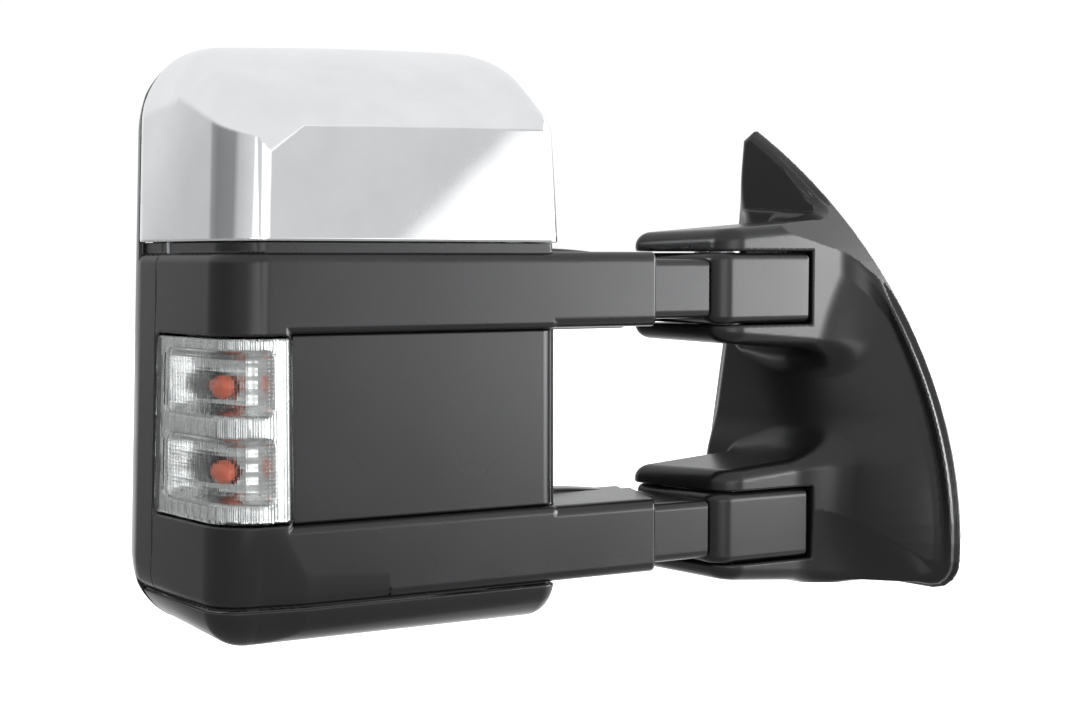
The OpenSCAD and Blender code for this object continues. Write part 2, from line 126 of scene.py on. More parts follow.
# ---------------------------------------------------------------- meshing
def net(shape, lo, hi, step):
    """Vertices and quads of the surface shape = 0, with the vertices pulled on to it."""
    axes = [np.arange(lo[i] - 1.5 * step, hi[i] + 2.5 * step, step) for i in range(3)]
    xs, ys, zs = axes
    field = np.asarray(
        np.broadcast_to(
            shape(xs[:, None, None], ys[None, :, None], zs[None, None, :]),
            (len(xs), len(ys), len(zs)),
        ),
        np.float64,
    )
    inside = field < 0
    corner = [(i, j, k) for i in (0, 1) for j in (0, 1) for k in (0, 1)]
    shape3 = tuple(n - 1 for n in field.shape)

    def at(a, i, j, k):
        return a[i : i + shape3[0], j : j + shape3[1], k : k + shape3[2]]

    count = sum(at(inside, *c).astype(np.int8) for c in corner)
    cells = np.argwhere((count > 0) & (count < 8))
    index = -np.ones(shape3, np.int64)
    index[tuple(cells.T)] = np.arange(len(cells))
    vals = {c: field[cells[:, 0] + c[0], cells[:, 1] + c[1], cells[:, 2] + c[2]] for c in corner}
    total = np.zeros((len(cells), 3))
    hits = np.zeros(len(cells))
    for c in corner:
        for ax in range(3):
            if c[ax]:
                continue
            d = tuple(c[i] + (i == ax) for i in range(3))
            a, b = vals[c], vals[d]
            cross = (a < 0) != (b < 0)
            t = np.where(cross, a / np.where(cross, a - b, 1), 0)
            p = np.array(c, float)[None, :].repeat(len(cells), 0)
            p[:, ax] += t
            total += np.where(cross[:, None], p, 0)
            hits += cross
    verts = (cells + total / hits[:, None]) * step + np.array([a[0] for a in axes])
    quads = []
    for ax in range(3):
        b, c = [(1, 2), (2, 0), (0, 1)][ax]
        n = list(field.shape)
        n[ax] -= 1
        sl0 = [slice(None)] * 3
        sl1 = [slice(None)] * 3
        sl0[ax] = slice(0, -1)
        sl1[ax] = slice(1, None)
        first, second = inside[tuple(sl0)], inside[tuple(sl1)]
        edges = np.argwhere(first != second)
        keep = (edges[:, b] > 0) & (edges[:, c] > 0)
        keep &= (edges[:, b] < field.shape[b] - 1) & (edges[:, c] < field.shape[c] - 1)
        edges = edges[keep]
        ring = []
        for db, dc in ((-1, -1), (0, -1), (0, 0), (-1, 0)):
            e = edges.copy()
            e[:, b] += db
            e[:, c] += dc
            ring.append(index[tuple(e.T)])
        q = np.stack(ring, 1)
        turned = ~first[tuple(edges.T)]
        q[turned] = q[turned][:, ::-1]
        quads.append(q)
    quads = np.concatenate(quads)
    quads = quads[(quads >= 0).all(1)]
    verts = pull(shape, verts, step, 3)
    return verts, quads


def gradient(shape, verts, h):
    """Slope of the shape's distance at each point, measured over a reach of h each way."""
    g = np.zeros_like(verts)
    for ax in range(3):
        a, b = verts.copy(), verts.copy()
        a[:, ax] += h
        b[:, ax] -= h
        g[:, ax] = shape(*a.T) - shape(*b.T)
    return g / (2 * h)


def pull(shape, verts, step, rounds):
    """Moves points on to the surface, by at most half a step a round."""
    for _ in range(rounds):
        slope = gradient(shape, verts, 0.05)
        steepness = np.maximum((slope * slope).sum(1), 0.05)
        move = -(shape(*verts.T) / steepness)[:, None] * slope
        length = np.maximum(np.sqrt((move * move).sum(1)), 1e-9)
        move *= np.minimum(1, 0.5 * step / length)[:, None]
        verts = verts + move
    return verts


def make_mesh(name, verts, quads):
    """A smooth-shaded object of quads, from points in millimetres."""
    mesh = bpy.data.meshes.new(name)
    corners = np.asarray(quads, np.int32)
    mesh.vertices.add(len(verts))
    mesh.vertices.foreach_set("co", (np.asarray(verts) * MM).astype(np.float32).ravel())
    mesh.loops.add(corners.size)
    mesh.loops.foreach_set("vertex_index", corners.ravel())
    mesh.polygons.add(len(corners))
    mesh.polygons.foreach_set("loop_start", np.arange(0, corners.size, 4, dtype=np.int32))
    mesh.update(calc_edges=True)
    mesh.validate()
    mesh.polygons.foreach_set("use_smooth", np.ones(len(mesh.polygons), bool))
    obj = bpy.data.objects.new(name, mesh)
    bpy.context.scene.collection.objects.link(obj)
    return obj


def thin(obj, ratio):
    """Collapses flat areas to fewer faces."""
    mod = obj.modifiers.new("thin", "DECIMATE")
    mod.ratio = ratio
    dg = bpy.context.evaluated_depsgraph_get()
    new = bpy.data.meshes.new_from_object(obj.evaluated_get(dg))
    obj.modifiers.clear()
    old = obj.data
    obj.data = new
    bpy.data.meshes.remove(old)


def solid(name, shape, lo, hi, step, in_arm=False, faces=60000):
    """A mesh of the solid where shape < 0, in millimetres, set in the row frame."""
    verts, quads = net(shape, lo, hi, step)
    obj = make_mesh(name, verts, quads)
    if len(quads) * 2 > faces:
        thin(obj, faces / (len(quads) * 2))
    mesh = obj.data
    co = np.zeros(len(mesh.vertices) * 3, np.float32)
    mesh.vertices.foreach_get("co", co)
    pts = pull(shape, co.reshape(-1, 3).astype(float) / MM, step, 2)
    normal = gradient(shape, pts, 0.04)
    normal /= np.maximum(np.linalg.norm(normal, axis=1), 1e-9)[:, None]
    if in_arm:
        pts = arm_to_row(pts)
        nx, ny = normal[:, 0].copy(), normal[:, 1].copy()
        normal[:, 0], normal[:, 1] = COS * nx + SIN * ny, -SIN * nx + COS * ny
    mesh.vertices.foreach_set("co", (pts * MM).astype(np.float32).ravel())
    mesh.update()
    mesh.polygons.foreach_set("use_smooth", np.ones(len(mesh.polygons), bool))
    mesh.normals_split_custom_set_from_vertices(normal)
    mesh.update()
    return obj


# ---------------------------------------------------------------- materials
def new_material(name):
    mat = bpy.data.materials.new(name)
    mat.use_nodes = True
    nt = mat.node_tree
    return mat, nt, nt.nodes["Principled BSDF"]


def noise(nt, scale, detail=3, rough=0.55, stretch=None):
    coord = nt.nodes.new("ShaderNodeTexCoord")
    n = nt.nodes.new("ShaderNodeTexNoise")
    n.inputs["Scale"].default_value = scale
    n.inputs["Detail"].default_value = detail
    n.inputs["Roughness"].default_value = rough
    if stretch:
        mapping = nt.nodes.new("ShaderNodeMapping")
        mapping.inputs["Scale"].default_value = stretch
        nt.links.new(coord.outputs["Object"], mapping.inputs["Vector"])
        nt.links.new(mapping.outputs["Vector"], n.inputs["Vector"])
    else:
        nt.links.new(coord.outputs["Object"], n.inputs["Vector"])
    return n.outputs["Fac"]


def spread(nt, value, lo, hi, from_lo=0.3, from_hi=0.7):
    m = nt.nodes.new("ShaderNodeMapRange")
    m.inputs["From Min"].default_value = from_lo
    m.inputs["From Max"].default_value = from_hi
    m.inputs["To Min"].default_value = lo
    m.inputs["To Max"].default_value = hi
    nt.links.new(value, m.inputs["Value"])
    return m.outputs["Result"]


def mix_colour(nt, fac, a, b):
    m = nt.nodes.new("ShaderNodeMix")
    m.data_type = "RGBA"
    m.inputs[6].default_value = (*a, 1)
    m.inputs[7].default_value = (*b, 1)
    nt.links.new(fac, m.inputs["Factor"])
    return m.outputs[2]


def bump(nt, height, strength, distance):
    b = nt.nodes.new("ShaderNodeBump")
    b.inputs["Strength"].default_value = strength
    b.inputs["Distance"].default_value = distance
    nt.links.new(height, b.inputs["Height"])
    return b.outputs["Normal"]


def black_plastic(name, shade=0.008, rough=(0.24, 0.3), grain=0.05):
    """Satin moulded plastic: fine spark-eroded grain, faint flow variation, and a lighter colour on sharp
    convex edges.
    """
    mat, nt, bsdf = new_material(name)
    big = noise(nt, 9, 2)
    fine = noise(nt, 1500, 2)
    edge = nt.nodes.new("ShaderNodeNewGeometry").outputs["Pointiness"]
    # sharp convex edges are drawn in a lighter colour
    edge_lightening = spread(nt, edge, 0.0, 0.5, 0.52, 0.6)
    deep = (shade, shade, shade * 1.07)
    pale = (shade * 1.25, shade * 1.25, shade * 1.36)
    colour = mix_colour(nt, spread(nt, big, 0, 1), deep, pale)
    lighter = nt.nodes.new("ShaderNodeMix")
    lighter.data_type = "RGBA"
    nt.links.new(edge_lightening, lighter.inputs["Factor"])
    nt.links.new(colour, lighter.inputs[6])
    lighter.inputs[7].default_value = (shade * 2.4, shade * 2.4, shade * 2.5, 1)
    nt.links.new(lighter.outputs[2], bsdf.inputs["Base Color"])
    nt.links.new(spread(nt, big, rough[0], rough[1]), bsdf.inputs["Roughness"])
    nt.links.new(bump(nt, fine, grain, 0.0002), bsdf.inputs["Normal"])
    bsdf.inputs["Specular IOR Level"].default_value = 0.5
    return mat


def metal(name, colour, rough=(0.2, 0.35), stretch=(1, 1, 14), scale=260, depth=0.05):
    """Bare metal with drawn or cast grain."""
    mat, nt, bsdf = new_material(name)
    n = noise(nt, scale, 3, 0.6, stretch)
    dark = tuple(c * 0.82 for c in colour)
    nt.links.new(mix_colour(nt, spread(nt, n, 0, 1), dark, colour), bsdf.inputs["Base Color"])
    nt.links.new(spread(nt, n, rough[0], rough[1]), bsdf.inputs["Roughness"])
    nt.links.new(bump(nt, n, depth, 0.0002), bsdf.inputs["Normal"])
    bsdf.inputs["Metallic"].default_value = 1
    return mat


def chrome_plate(name):
    """Bright plating with a faint haze."""
    mat, nt, bsdf = new_material(name)
    n = noise(nt, 30, 3)
    fine = noise(nt, 700, 2)
    tint = mix_colour(nt, spread(nt, n, 0, 1), (0.80, 0.81, 0.82), (0.86, 0.865, 0.87))
    nt.links.new(tint, bsdf.inputs["Base Color"])
    nt.links.new(spread(nt, fine, 0.015, 0.05), bsdf.inputs["Roughness"])
    bsdf.inputs["Metallic"].default_value = 1
    return mat


def clear_plastic(name):
    """Clear polycarbonate with a hard coat."""
    mat, nt, bsdf = new_material(name)
    n = noise(nt, 300, 2)
    nt.links.new(spread(nt, n, 0.02, 0.06), bsdf.inputs["Roughness"])
    bsdf.inputs["Base Color"].default_value = (0.97, 0.98, 0.98, 1)
    bsdf.inputs["Transmission Weight"].default_value = 1
    bsdf.inputs["IOR"].default_value = 1.2
    bsdf.inputs["Coat Weight"].default_value = 0.6
    bsdf.inputs["Coat Roughness"].default_value = 0.04
    return mat


def silvered(name):
    """Vacuum-metallised plastic with a fine moulded texture."""
    mat, nt, bsdf = new_material(name)
    n = noise(nt, 90, 3)
    tint = mix_colour(nt, spread(nt, n, 0, 1), (0.62, 0.63, 0.62), (0.78, 0.79, 0.78))
    nt.links.new(tint, bsdf.inputs["Base Color"])
    nt.links.new(spread(nt, n, 0.2, 0.3), bsdf.inputs["Roughness"])
    nt.links.new(bump(nt, noise(nt, 900, 2), 0.08, 0.0002), bsdf.inputs["Normal"])
    bsdf.inputs["Metallic"].default_value = 1
    return mat


def mirror_glass(name):
    """Silvered glass with a slight blue tint."""
    mat, nt, bsdf = new_material(name)
    n = noise(nt, 60, 3)
    tint = mix_colour(nt, spread(nt, n, 0, 1), (0.84, 0.87, 0.88), (0.88, 0.9, 0.91))
    nt.links.new(tint, bsdf.inputs["Base Color"])
    nt.links.new(spread(nt, n, 0.01, 0.03), bsdf.inputs["Roughness"])
    bsdf.inputs["Metallic"].default_value = 1
    return mat


def rubber(name, shade=0.018):
    """Dull foam rubber."""
    mat, nt, bsdf = new_material(name)
    n = noise(nt, 500, 4)
    tint = mix_colour(nt, spread(nt, n, 0, 1), (shade,) * 3, (shade * 1.7,) * 3)
    nt.links.new(tint, bsdf.inputs["Base Color"])
    nt.links.new(spread(nt, n, 0.7, 0.85), bsdf.inputs["Roughness"])
    nt.links.new(bump(nt, n, 0.25, 0.0004), bsdf.inputs["Normal"])
    return mat


def bulb_glass(name):
    """Glossy red-orange bulb."""
    mat, nt, bsdf = new_material(name)
    n = noise(nt, 40)
    tint = mix_colour(nt, n, (0.6, 0.09, 0.05), (0.75, 0.17, 0.08))
    nt.links.new(tint, bsdf.inputs["Base Color"])
    nt.links.new(spread(nt, n, 0.1, 0.2), bsdf.inputs["Roughness"])
    return mat


# ---------------------------------------------------------------- head form
# Millimetres in the arm frame. The front of the head, the seams of its shells and its rear rim:
FRONT_Y = -47.0
SPLIT_Y = 18.0
HEAD_SPLIT_Y = 52.0
RIM_Y = 78.0
REAR_Y = 100.0
# Its top and bottom, its flat sides and the joints of its caps:
TOP_Z = 259.0
BOTTOM_Z = -146.0
ROOF_RISE = 7.5
SIDE_OUT = 411.3
SIDE_IN = 159.1
LEAN = 10.0
SLOPE_OUT = 199.4
UNDER_OUT = 86.0
CAP_Z = 123.0
BAR_TOP = 117.0
LOW_Z = -118.0
# The two bars, which run on as the arm sleeves, and the flat panel between them:
ARM_Z = 90.0
BAR_HALF = 27.0
PANEL_HALF = 63.0
PANEL_Y = -41.0
BACK_Y = -35.0
SLEEVE_REAR_Y = 41.0
BAND_R = 8.0
MOUTH_FRONT = (-86.5, -47.0)
MOUTH_REAR = (-62.0, 41.0)
IN_X = -162.0
MID_X = -296.0
LENS_X = -364.0
LENS_HALF = 61.0
LENS_REAR = 49.5
WALL = 2.8
# How far inboard the sleeves reach, and a box that holds the whole head:
SLEEVE_END = -60.0
HEAD_LO = (-444.0, -48.0, -147.0)
HEAD_HI = (-148.0, 101.0, 268.0)


def head_form(x, y, z):
    """Outer skin of the head, without the sleeves."""
    # the outboard side, which leans inboard towards the top and turns in at the rear rim
    lean = LEAN * np.clip((z + 100) / 320, -0.1, 1.1)
    left_front = (-125 * (x - lean) - 27 * y) / 127.9 - SIDE_OUT
    left_rear = (-21 * (x - lean + 440) + 7 * (y - RIM_Y)) / 22.14
    left = meet_round(left_front, left_rear, 5.0)
    # the inboard side, drawn in above and below the bars
    drop = 7 * np.clip((np.abs(z - 10) - 80) / 125, 0, 1.2) ** 1.3
    right_front = (118 * (x + drop) - 12 * y) / 118.6 + SIDE_IN
    right_rear = (21 * (x + drop + 152) + 7 * (y - RIM_Y)) / 22.14
    right = meet_round(right_front, right_rear, 5.0)
    # the roof, which rises inboard, and the long slope in front of it
    rise = ROOF_RISE - 10 * ((np.clip(x, -425, -175) + 175) / 250) ** 2
    slope = (-49 * y + 72 * z) / 87.1 - SLOPE_OUT
    top = (-5 * y + 53 * (z - rise)) / 53.2 - 250.6
    top_rear = (7 * (y - RIM_Y) + 21 * (z - rise - TOP_Z)) / 22.14
    roof = meet_round(meet_round(slope, top, 22.0), top_rear, 5.0)
    # the underside
    under = meet_round(BOTTOM_Z - z, (-25 * y - 9 * z) / 26.6 - UNDER_OUT, 26.0)
    under = meet_round(under, (7 * (y - RIM_Y) - 21 * (z - BOTTOM_Z)) / 22.14, 5.0)
    # edge radii that grow towards the rear
    deep = np.clip((y - FRONT_Y) / (RIM_Y - FRONT_Y), 0, 1)
    outboard = np.where(z > 0, 17 + 33 * deep, 24 + 26 * deep)
    inboard = 12 + 24 * deep**2
    body = meet_round(right, np.maximum(roof, under), inboard)
    body = meet_round(body, left, outboard)
    front_r = np.interp(x, [-385, -355, -190], [30, 10, 7])
    body = meet_round(body, -y + FRONT_Y, front_r)
    return meet_round(body, y - REAR_Y, 7.0)


def rim_opening(x, z):
    """The opening for the glasses."""
    return rect_round(x, z, -421.0, -171.0, -133.0, 246.0, 38.0)


def head_zone_front(x, y):
    """Negative where the front shell is, positive where the rear shell is."""
    return np.minimum(y - SPLIT_Y, np.maximum(y - HEAD_SPLIT_Y, x - MID_X))


def bar_band(form, z):
    """The dark band of the head between the bright cap and the lower cap."""
    band = meet_round(form, np.maximum(z - BAR_TOP, LOW_Z + 1.0 - z), BAND_R)
    groove = np.maximum(form + 4.0, slab(z, LOW_Z, CAP_Z))
    return np.minimum(band, groove)


def mouth_cut(x, y):
    """Distance past the slanted mouth of a sleeve."""
    return half_plane(x, y, MOUTH_REAR, MOUTH_FRONT)


def sleeve_bore(x, y, z):
    """The way of a tube through its sleeve."""
    bore = rect_round(y, np.abs(z) - ARM_Z, -41.3, 35.3, -21.3, 21.3, 6.5)
    return np.maximum(bore, -(x + 345))


def lamp_window(x, y, z, grow):
    """The hole for the lamp, larger than the lens by grow."""
    edge = np.maximum(x - LENS_X - grow, y - LENS_REAR - grow)
    return meet_round(edge, np.abs(z) - LENS_HALF - grow, 7.0)


def front_shell_shape(x, y, z):
    """The bars, the back of the flat panel's recess and the front halves of the sleeves."""
    form = head_form(x, y, z)
    skin = bar_band(form, z)
    panel = meet_round(y - BACK_Y, np.abs(z) - PANEL_HALF, 1.0)
    panel = np.maximum(panel, -(x - LENS_X - 0.6))
    skin = cut_round(skin, panel, 5.0)
    inner_y = np.where(np.abs(z) < PANEL_HALF + 3, -30.0, -38.0)
    skin = np.maximum(skin, -np.maximum(form + 7.0, inner_y - y))
    skin = np.maximum(skin, head_zone_front(x, y) + 0.1)
    skin = np.minimum(skin, np.maximum(panel_wall(x, y, z), form + 2.5))
    tube = rect_round(y, np.abs(z) - ARM_Z, FRONT_Y, SLEEVE_REAR_Y, -BAR_HALF, BAR_HALF, BAND_R)
    tube = meet_round(tube, mouth_cut(x, y), 2.4)
    tube = np.maximum(tube, -(x - MID_X))
    tube = meet_round(tube, y - SPLIT_Y + 0.4, 0.8)
    # room inside the head for the plate that ties the two tubes, as the head slides
    tie_way = np.maximum(np.maximum(x + 248.0, slab(y, -23.0, 20.0)), np.abs(z) - ARM_Z)
    skin = np.minimum(skin, np.maximum(tube, -tie_way))
    skin = np.maximum(skin, -sleeve_bore(x, y, z))
    return cut_round(skin, lamp_window(x, y, z, 0.9), 1.3)


def panel_wall(x, y, z):
    """The wall behind the flat panel."""
    outline = np.maximum(np.abs(z) - PANEL_HALF - 4, -(x - LENS_X - 6))
    return np.maximum(slab(y, BACK_Y + 0.2, -30.0), outline)


def rear_shell_shape(x, y, z):
    """The rear of the head with its rim, and the rear halves of the sleeves."""
    form = head_form(x, y, z)
    near_groove = np.abs(z - 2.5) > 112.0
    wall = np.maximum(bar_band(form, z), -(form + np.where(near_groove, 7.0, 3.2)))
    wall = np.maximum(wall, -head_zone_front(x, y) + 0.1)
    wall = np.maximum(wall, y - RIM_Y - 0.5)
    opening = rim_opening(x, z)
    rim = np.maximum(form, RIM_Y + 0.3 - y)
    rim = cut_round(rim, opening, 2.5)
    rim = np.maximum(rim, -np.maximum(form + 3.2, y - REAR_Y + 4.5))
    bar = meet_round(slab(z, -2.5, 2.5), slab(y, 84.0, 97.0), 1.5)
    bar = np.maximum(bar, form + 1.5)
    reach = np.clip((x + 150) / 60, 0, 1)
    upper = z > 0
    gusset = 4.0 * (1 - reach * reach) - 1.0
    low = np.where(upper, -BAR_HALF - 4.0, -BAR_HALF + 1.0)
    away = np.abs(z) - ARM_Z
    up = np.where(upper, away, -away)
    span = np.maximum(up - (BAR_HALF + gusset), low - up)
    tube = meet_round(np.maximum(y - SLEEVE_REAR_Y + 0.6, SPLIT_Y - y + 0.4), span, 5.0)
    tube = meet_round(tube, mouth_cut(x, y) + 5.0, 3.0)
    tube = np.maximum(tube, -(x - IN_X - 2))
    out = np.minimum(join_round(wall, tube, 4.0), np.minimum(rim, bar))
    return np.maximum(out, -sleeve_bore(x, y, z))


def chrome_shape(x, y, z):
    """The bright cap over the top of the head."""
    form = head_form(x, y, z)
    shell = np.maximum(form, -(form + WALL))
    shell = meet_round(shell, CAP_Z + 0.3 - z, 1.2)
    return meet_round(shell, y - RIM_Y + 0.2, 1.2)


def lower_cap_shape(x, y, z):
    """The cap under the lower bar, a little inside the bar's face."""
    form = head_form(x, y, z) + 0.9
    shell = np.maximum(form, -(form + WALL))
    shell = meet_round(shell, z - LOW_Z + 0.4, 1.4)
    return meet_round(shell, y - RIM_Y + 0.2, 1.2)


def panel_shape(x, y, z):
    """The flat panel between the bars."""
    right = (118 * x - 12 * y) / 118.6 + 162.6
    plate = meet_round(right, PANEL_Y - y, 9.0)
    plate = np.maximum(plate, y - BACK_Y + 0.2)
    plate = meet_round(plate, -(x - LENS_X - 1.6), 2.0)
    return meet_round(plate, np.abs(z) - PANEL_HALF + 0.7, 1.6)


# ---------------------------------------------------------------- signal lamp
WINDOWS = ((8.5, 53.0), (-49.0, -4.0))
WINDOW_X = -374.0
WINDOW_Y = 38.0
FLUTE = 2.6
BULB_X, BULB_Z = -400.0, 28.0
BULB_HOLE = 8.4


def window_mask(x, y, z):
    """Distance to the nearer of the lamp's two windows, measured along the axes."""
    edge = np.maximum(x - WINDOW_X, y - WINDOW_Y)
    upper, lower = (meet_round(edge, slab(z, low, high), 7.0) for low, high in WINDOWS)
    return np.minimum(upper, lower)


def ripple(length, depth, pitch):
    """A wave of the given pitch along a length, from 0 to twice the depth."""
    return depth * (1 - np.cos(2 * math.pi * length / pitch))


def flutes(x, y, z):
    """Depth of the fine ribs on the inner face of the lens."""
    return ripple(x - y, 0.12, FLUTE) + ripple(z, 0.07, FLUTE)


def lens_shape(x, y, z):
    """The clear lens that wraps round the corner of the head."""
    form = head_form(x, y, z)
    mask = window_mask(x, y, z)
    inside = np.clip(-mask / 1.5, 0, 1)
    depth = 2.4 + inside * (flutes(x, y, z) - 0.3)
    # a groove round each window
    groove = 0.15 + 1.3 * np.clip(1 - np.abs(mask) / 1.8, 0, 1) ** 2
    shell = np.maximum(form + groove, -(form + depth + groove))
    shell = np.maximum(shell, np.maximum(x - LENS_X, y - LENS_REAR))
    return meet_round(shell, np.abs(z) - LENS_HALF, 3.0)


def lamp_shape(x, y, z):
    """The silvered body behind the lens: a beaded frame and two faceted bowls."""
    form = head_form(x, y, z)
    mask = window_mask(x, y, z)
    facets = ripple(x - y, 0.35, 11.0) + ripple(z, 0.25, 9.0)
    beads = ripple(x - y, 0.2, 2.2)
    bowl = smooth(-mask / 8)
    body = form + 3.6 + beads * (1 - bowl) + bowl * (15.0 + facets)
    edge = np.maximum(x - LENS_X + 1, y - LENS_REAR + 0.4)
    body = np.maximum(body, np.maximum(edge, np.abs(z) - LENS_HALF + 1.5))
    body = np.maximum(body, -(form + 26.0))
    bulb = np.sqrt((x - BULB_X) ** 2 + (np.abs(z) - BULB_Z) ** 2) - BULB_HOLE
    return np.maximum(body, -bulb)


# ---------------------------------------------------------------- knuckles and tubes
END_FRONT = (-34.0, -47.0)
END_REAR = (-50.0, 43.0)
KNUCKLE_REAR = 43.0
KNUCKLE_R = 51.0
KNUCKLE_HALF = 26.5
SPIGOT_HALF = 18.8
TUBE_HALF = 22.0
TUBE_WALL = 3.0
TUBE_END = -330.0


def knuckle_plan(x, y):
    """Outline of a knuckle from above, round where it turns in its slot."""
    end = half_plane(x, y, END_FRONT, END_REAR)
    plan = meet_round(end, -y + FRONT_Y, 14.0)
    plan = meet_round(plan, y - KNUCKLE_REAR, 5.0)
    arc = np.where((x > 0) & (y > 0), np.sqrt(x * x + y * y) - KNUCKLE_R, x - KNUCKLE_R)
    return meet_round(plan, arc, 2.5)


def knuckle_shape(mid):
    """The knuckle whose middle is at height mid, with the spigot that enters the tube."""

    def shape(x, y, z):
        plan = knuckle_plan(x, y)
        body = meet_round(plan, np.abs(z - mid) - KNUCKLE_HALF, 5.5)
        spigot = rect_round(y, z - mid, -36.8, 30.8, -SPIGOT_HALF, SPIGOT_HALF, 2.0)
        spigot = np.maximum(spigot, slab(x, -75.0, -20.0))
        body = np.minimum(body, spigot)
        bore = np.sqrt(x * x + y * y) - np.where(z - mid > 18.5, 15.5, 12.0)
        return np.maximum(body, -bore)

    return shape


def tube_shape(mid):
    """The inner tube at height mid."""

    def shape(x, y, z):
        outer = rect_round(y, z - mid, -40, 34, -TUBE_HALF, TUBE_HALF, 6)
        f = np.maximum(outer, -(outer + TUBE_WALL))
        f = meet_round(f, 0.2 - half_plane(x, y, END_FRONT, END_REAR), 0.4)
        return np.maximum(f, TUBE_END - x)

    return shape


# ---------------------------------------------------------------- base
TIP = (49.0, 218.0)
BEND_HI = (-66.0, 143.0)
BEND_LO = (-160.0, 22.0)
TOE = (-154.0, -116.0)
HEEL = (112.0, -126.0)
REAR_BEND = (67.0, 140.0)
REAR_TIP = (60.0, 211.0)
BASE_LOW = -138.0
GASKET_T = 2.5
SLOT_HALF = 27.6
SLOT_X = 53.0
PIN_HOLE_R = 9.2
# The rim that runs along the outline, and the plate under the whole cover:
BAND = 11.5
PLATE = 16.0
# The bottom and top of each hub at the fold axis:
HUBS = ((45.0, 138.0), (-133.5, -43.0))


def bezier(t):
    """A point of the curved front outline, from the tip at t = 0 to the toe at t = 1."""
    return tuple(
        (1 - t) ** 3 * a + 3 * t * (1 - t) ** 2 * b + 3 * t * t * (1 - t) * c + t**3 * d
        for a, b, c, d in zip(TIP, BEND_HI, BEND_LO, TOE)
    )


EDGE = [bezier(i / 28) for i in range(29)]
TOE_CORNER = [(-152.5, -123), (-148, -130), (-141, -135.5), (-131, BASE_LOW)]
OUTLINE = EDGE + TOE_CORNER + [(106, BASE_LOW), HEEL, REAR_BEND, REAR_TIP]
FRONT_SIDE = EDGE + TOE_CORNER + [(-131, -400), (600, -400), (600, 400), (49, 400)]


def base_shape(x, y, z):
    """The fairing on the door, with its sail, its rim and the two slotted hubs."""
    xa, ya = row_to_arm(x, y)
    edge = polygon_2d(y, z, OUTLINE)
    front = -polygon_2d(y, z, FRONT_SIDE)
    low_part = smooth((-8 - z) / 40)
    # flange on the door, with a broad sloping rim that is steeper at the tip
    lift = 0.55 + 1.1 * smooth((z - 140) / 50)
    rim = (-x - 5.0 + lift * edge) / np.sqrt(1 + lift * lift)
    plate = meet_round(meet_round(-x - PLATE, rim, 3.0), edge, 1.5)
    # the outboard face of the sail, as a height over the door plane
    t = np.clip(1 - (front - BAND) / 120.0, 0, 1)
    fade = 1 - smooth((z - 112) / 36)
    height = 11.0 + (37.0 + 5.0 * low_part) * (1 - t**2.4) * fade
    sail = (-x - height) * 0.8
    rear = (HEEL, REAR_BEND, REAR_TIP)
    rear_y = np.interp(z, [p[1] for p in rear], [p[0] for p in rear])
    sail = meet_round(sail, y - rear_y + 37.0, 7.0)
    sail = meet_round(sail, edge + 3.0, 1.0)
    sail = meet_round(sail, BASE_LOW + 0.5 - z, 5.0)
    f = join_round(plate, sail, 1.2)
    # the two hubs, each with its pair of ears
    for low, top in HUBS:
        reach = np.clip((xa - 20) / 60, -1.3, 0.8)
        side = meet_round(z - top - 5.0 * reach, low - 5.0 * reach - z, 3.0)
        end = half_plane(xa, ya, (-26.0, -47.0), (-57.0, 43.0))
        plan = meet_round(end, -ya + FRONT_Y - 0.5, 16.0)
        plan = meet_round(plan, ya - 42.0, 10.0)
        block = meet_round(plan, side, 10.0)
        f = join_round(f, block, 7.0 + 15.0 * smooth((35 - y) / 60))
    # the recessed corner behind the window pillar, open to the rear
    margin = 3 + 7 * smooth((215 - z) / 70)
    recess = meet_round(150.0 + 0.06 * y - z, margin - front, 5.0)
    f = cut_round(f, np.maximum(recess, -(-x - PLATE + 4.0)), 2.5)
    f = np.maximum(f, x + GASKET_T)
    f = np.maximum(f, edge)
    slot = np.maximum(xa - SLOT_X, np.abs(np.abs(z) - ARM_Z) - SLOT_HALF)
    f = cut_round(f, slot, 1.8)
    # the hollow for the stud plate, and the holes for the fold pins
    pocket = np.maximum(np.maximum(-x - 15.9, np.abs(y) - 58), np.abs(z) - 95)
    f = np.maximum(f, -pocket)
    pin = np.sqrt(xa * xa + ya * ya) - PIN_HOLE_R
    bore = np.maximum(pin, np.abs(np.abs(z) - ARM_Z) - SLOT_HALF - 11.0)
    return np.maximum(f, -bore)


# ---------------------------------------------------------------- pieces
def place(obj, body, nodes, mat):
    """Gives a piece its material and the body that it rides on, and hides the CAD nodes that it stands
    for.
    """
    obj.data.materials.clear()
    obj.data.materials.append(mat)
    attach(obj, body)
    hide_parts(*nodes)


def build_base(step, black):
    lo, hi = (-146, -158, -140), (-1, 124, 220)
    cover = solid("base_cover", base_shape, lo, hi, step * 1.2, faces=90000)
    place(cover, "base", ["base_housing"], black)


def build_arms(black, tube_black):
    for name, mid in (("upper", ARM_Z), ("lower", -ARM_Z)):
        lo, hi = (-76, -48, mid - 28), (53, 45, mid + 28)
        knuckle = solid(f"{name}_knuckle", knuckle_shape(mid), lo, hi, 1.5, True, 24000)
        place(knuckle, "arms", [f"knuckle_{name}"], black)
        lo, hi = (-331, -41, mid - 23), (-32, 35, mid + 23)
        tube = solid(f"{name}_tube", tube_shape(mid), lo, hi, 1.5, True, 16000)
        place(tube, "arms", [f"tube_{name}"], tube_black)


